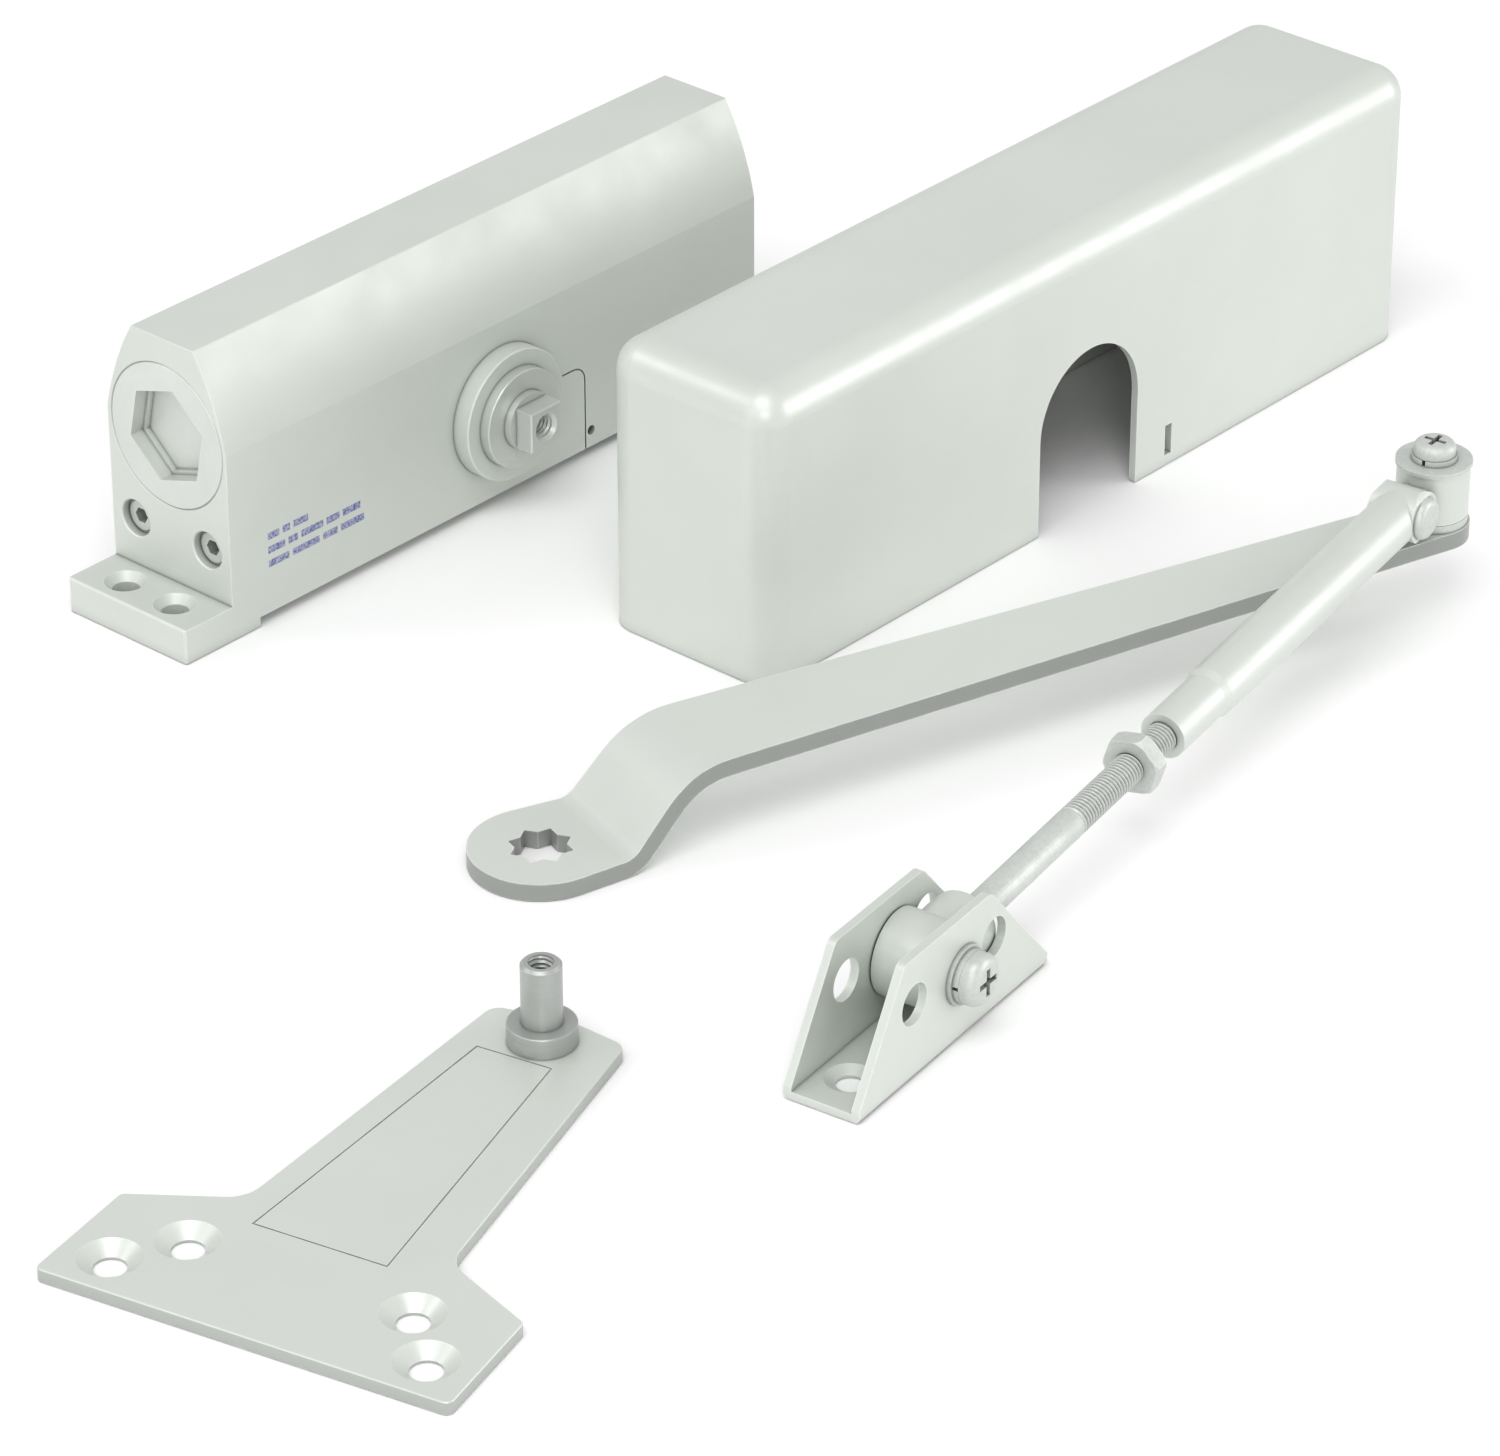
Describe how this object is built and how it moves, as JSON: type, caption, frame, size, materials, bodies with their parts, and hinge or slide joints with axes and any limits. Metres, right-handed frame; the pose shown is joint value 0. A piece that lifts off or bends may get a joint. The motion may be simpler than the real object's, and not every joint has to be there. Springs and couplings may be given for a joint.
{
  "type": "surface-mounted door closer",
  "caption": "Rack-and-pinion door closer kit: bored body with feet, full cover, two-piece arm with adjustable rod and shoe, and a parallel-arm bracket.",
  "frame": {"origin": "centre of the closer body's mounting face, midway between its four screw holes", "axes": "+X along the body towards its spring end, -Y the side that the spindle comes out of, +Z away from the door"},
  "size_m": [0.5971, 0.3311, 0.0862],
  "materials": {
    "silver_paint": "fine metallic aluminium paint, satin",
    "body_paint": "cast, with fine metallic silver paint, satin",
    "cover_paint": "drawn, with fine metallic silver paint, satin",
    "machined_caps": "turned, lightly painted",
    "spindle_steel": "ground",
    "valve_steel": "turned",
    "plated_fasteners": "satin zinc plate",
    "spring_steel": "oiled",
    "piston_iron": "ground",
    "seal_rubber": "moulded"
  },
  "bodies": {
    "root": {"body_casting": "body_paint", "end_cap_near": "machined_caps", "end_cap_far": "machined_caps", "end_cap_seals": "seal_rubber", "spindle_gland_front": "machined_caps", "spindle_gland_back": "machined_caps", "spindle_seal": "seal_rubber", "pinion_bearing_front": "valve_steel", "pinion_bearing_back": "valve_steel", "spring_seat": "spring_steel", "main_spring": "spring_steel"},
    "spindle": {"pinion_shaft": "spindle_steel"},
    "piston": {"piston": "piston_iron", "piston_seal": "seal_rubber", "piston_check_valve": "valve_steel"},
    "sweep_valve": {"sweep_valve": "valve_steel", "sweep_valve_seal": "seal_rubber"},
    "latch_valve": {"latch_valve": "valve_steel", "latch_valve_seal": "seal_rubber"},
    "cover": {"cover_shell": "cover_paint"},
    "arm": {"main_arm": "silver_paint", "elbow_stud": "plated_fasteners", "elbow_spacer": "plated_fasteners", "elbow_flat_washer": "plated_fasteners", "elbow_lock_washer": "plated_fasteners", "elbow_screw": "plated_fasteners"},
    "elbow": {"elbow_knuckle": "silver_paint"},
    "forearm": {"forearm_tube": "silver_paint", "elbow_rivet": "plated_fasteners"},
    "rod": {"threaded_rod": "plated_fasteners", "rod_end": "silver_paint"},
    "nut": {"lock_nut": "plated_fasteners"},
    "shoe": {"shoe_bracket": "silver_paint", "shoe_washer": "plated_fasteners", "shoe_lock_washer": "plated_fasteners", "shoe_screw": "plated_fasteners"},
    "bracket": {"bracket_plate": "silver_paint", "bracket_stud": "plated_fasteners"}
  },
  "joints": [
    {"name": "spindle_turn", "type": "hinge", "parent": "root", "child": "spindle", "pos_m": [0, 0, 0.029], "axis": [0, 1, 0], "range_deg": [0, 180.5]},
    {"name": "piston_slide", "type": "slide", "parent": "root", "child": "piston", "axis": [1, 0, 0], "range_m": [0, 0.03456], "deforming": ["main_spring"]},
    {"name": "sweep_valve_turn", "type": "hinge", "parent": "root", "child": "sweep_valve", "pos_m": [-0.1062, 0.0138, 0.0245], "axis": [-1, 0, 0], "range_deg": [-360, 720]},
    {"name": "latch_valve_turn", "type": "hinge", "parent": "root", "child": "latch_valve", "pos_m": [-0.1062, -0.0138, 0.0245], "axis": [-1, 0, 0], "range_deg": [-360, 720]},
    {"name": "cover_lift", "type": "slide", "parent": "root", "child": "cover", "axis": [0, 0, 1], "range_m": [0, 0.12]},
    {"name": "arm_lift", "type": "slide", "parent": "root", "child": "arm", "axis": [0, 0, 1], "range_m": [0, 0.1]},
    {"name": "elbow_swing", "type": "hinge", "parent": "arm", "child": "elbow", "pos_m": [0.12618, -0.24982, 0.03475], "axis": [0, 0, 1], "range_deg": [-10, 150]},
    {"name": "forearm_tilt", "type": "hinge", "parent": "elbow", "child": "forearm", "pos_m": [0.10874, -0.25221, 0.03475], "axis": [-0.1357, 0.9907, 0], "range_deg": [-1, 15]},
    {"name": "rod_adjust", "type": "slide", "parent": "forearm", "child": "rod", "axis": [-0.9885, -0.1354, -0.0678], "range_m": [-0.005, 0.02]},
    {"name": "lock_nut_run", "type": "slide", "parent": "rod", "child": "nut", "axis": [-0.9885, -0.1354, -0.0678], "range_m": [-0.005, 0.025]},
    {"name": "shoe_pivot", "type": "hinge", "parent": "rod", "child": "shoe", "pos_m": [-0.12805, -0.28464, 0.0185], "axis": [-0.1357, 0.9907, 0], "range_deg": [-12, 175]},
    {"name": "bracket_lift", "type": "slide", "parent": "root", "child": "bracket", "axis": [0, 0, 1], "range_m": [0, 0.06]}
  ],
  "couplings": [
    {"joint": "spindle_turn", "follows": "piston_slide", "rad_per_m": 90.909}
  ]
}
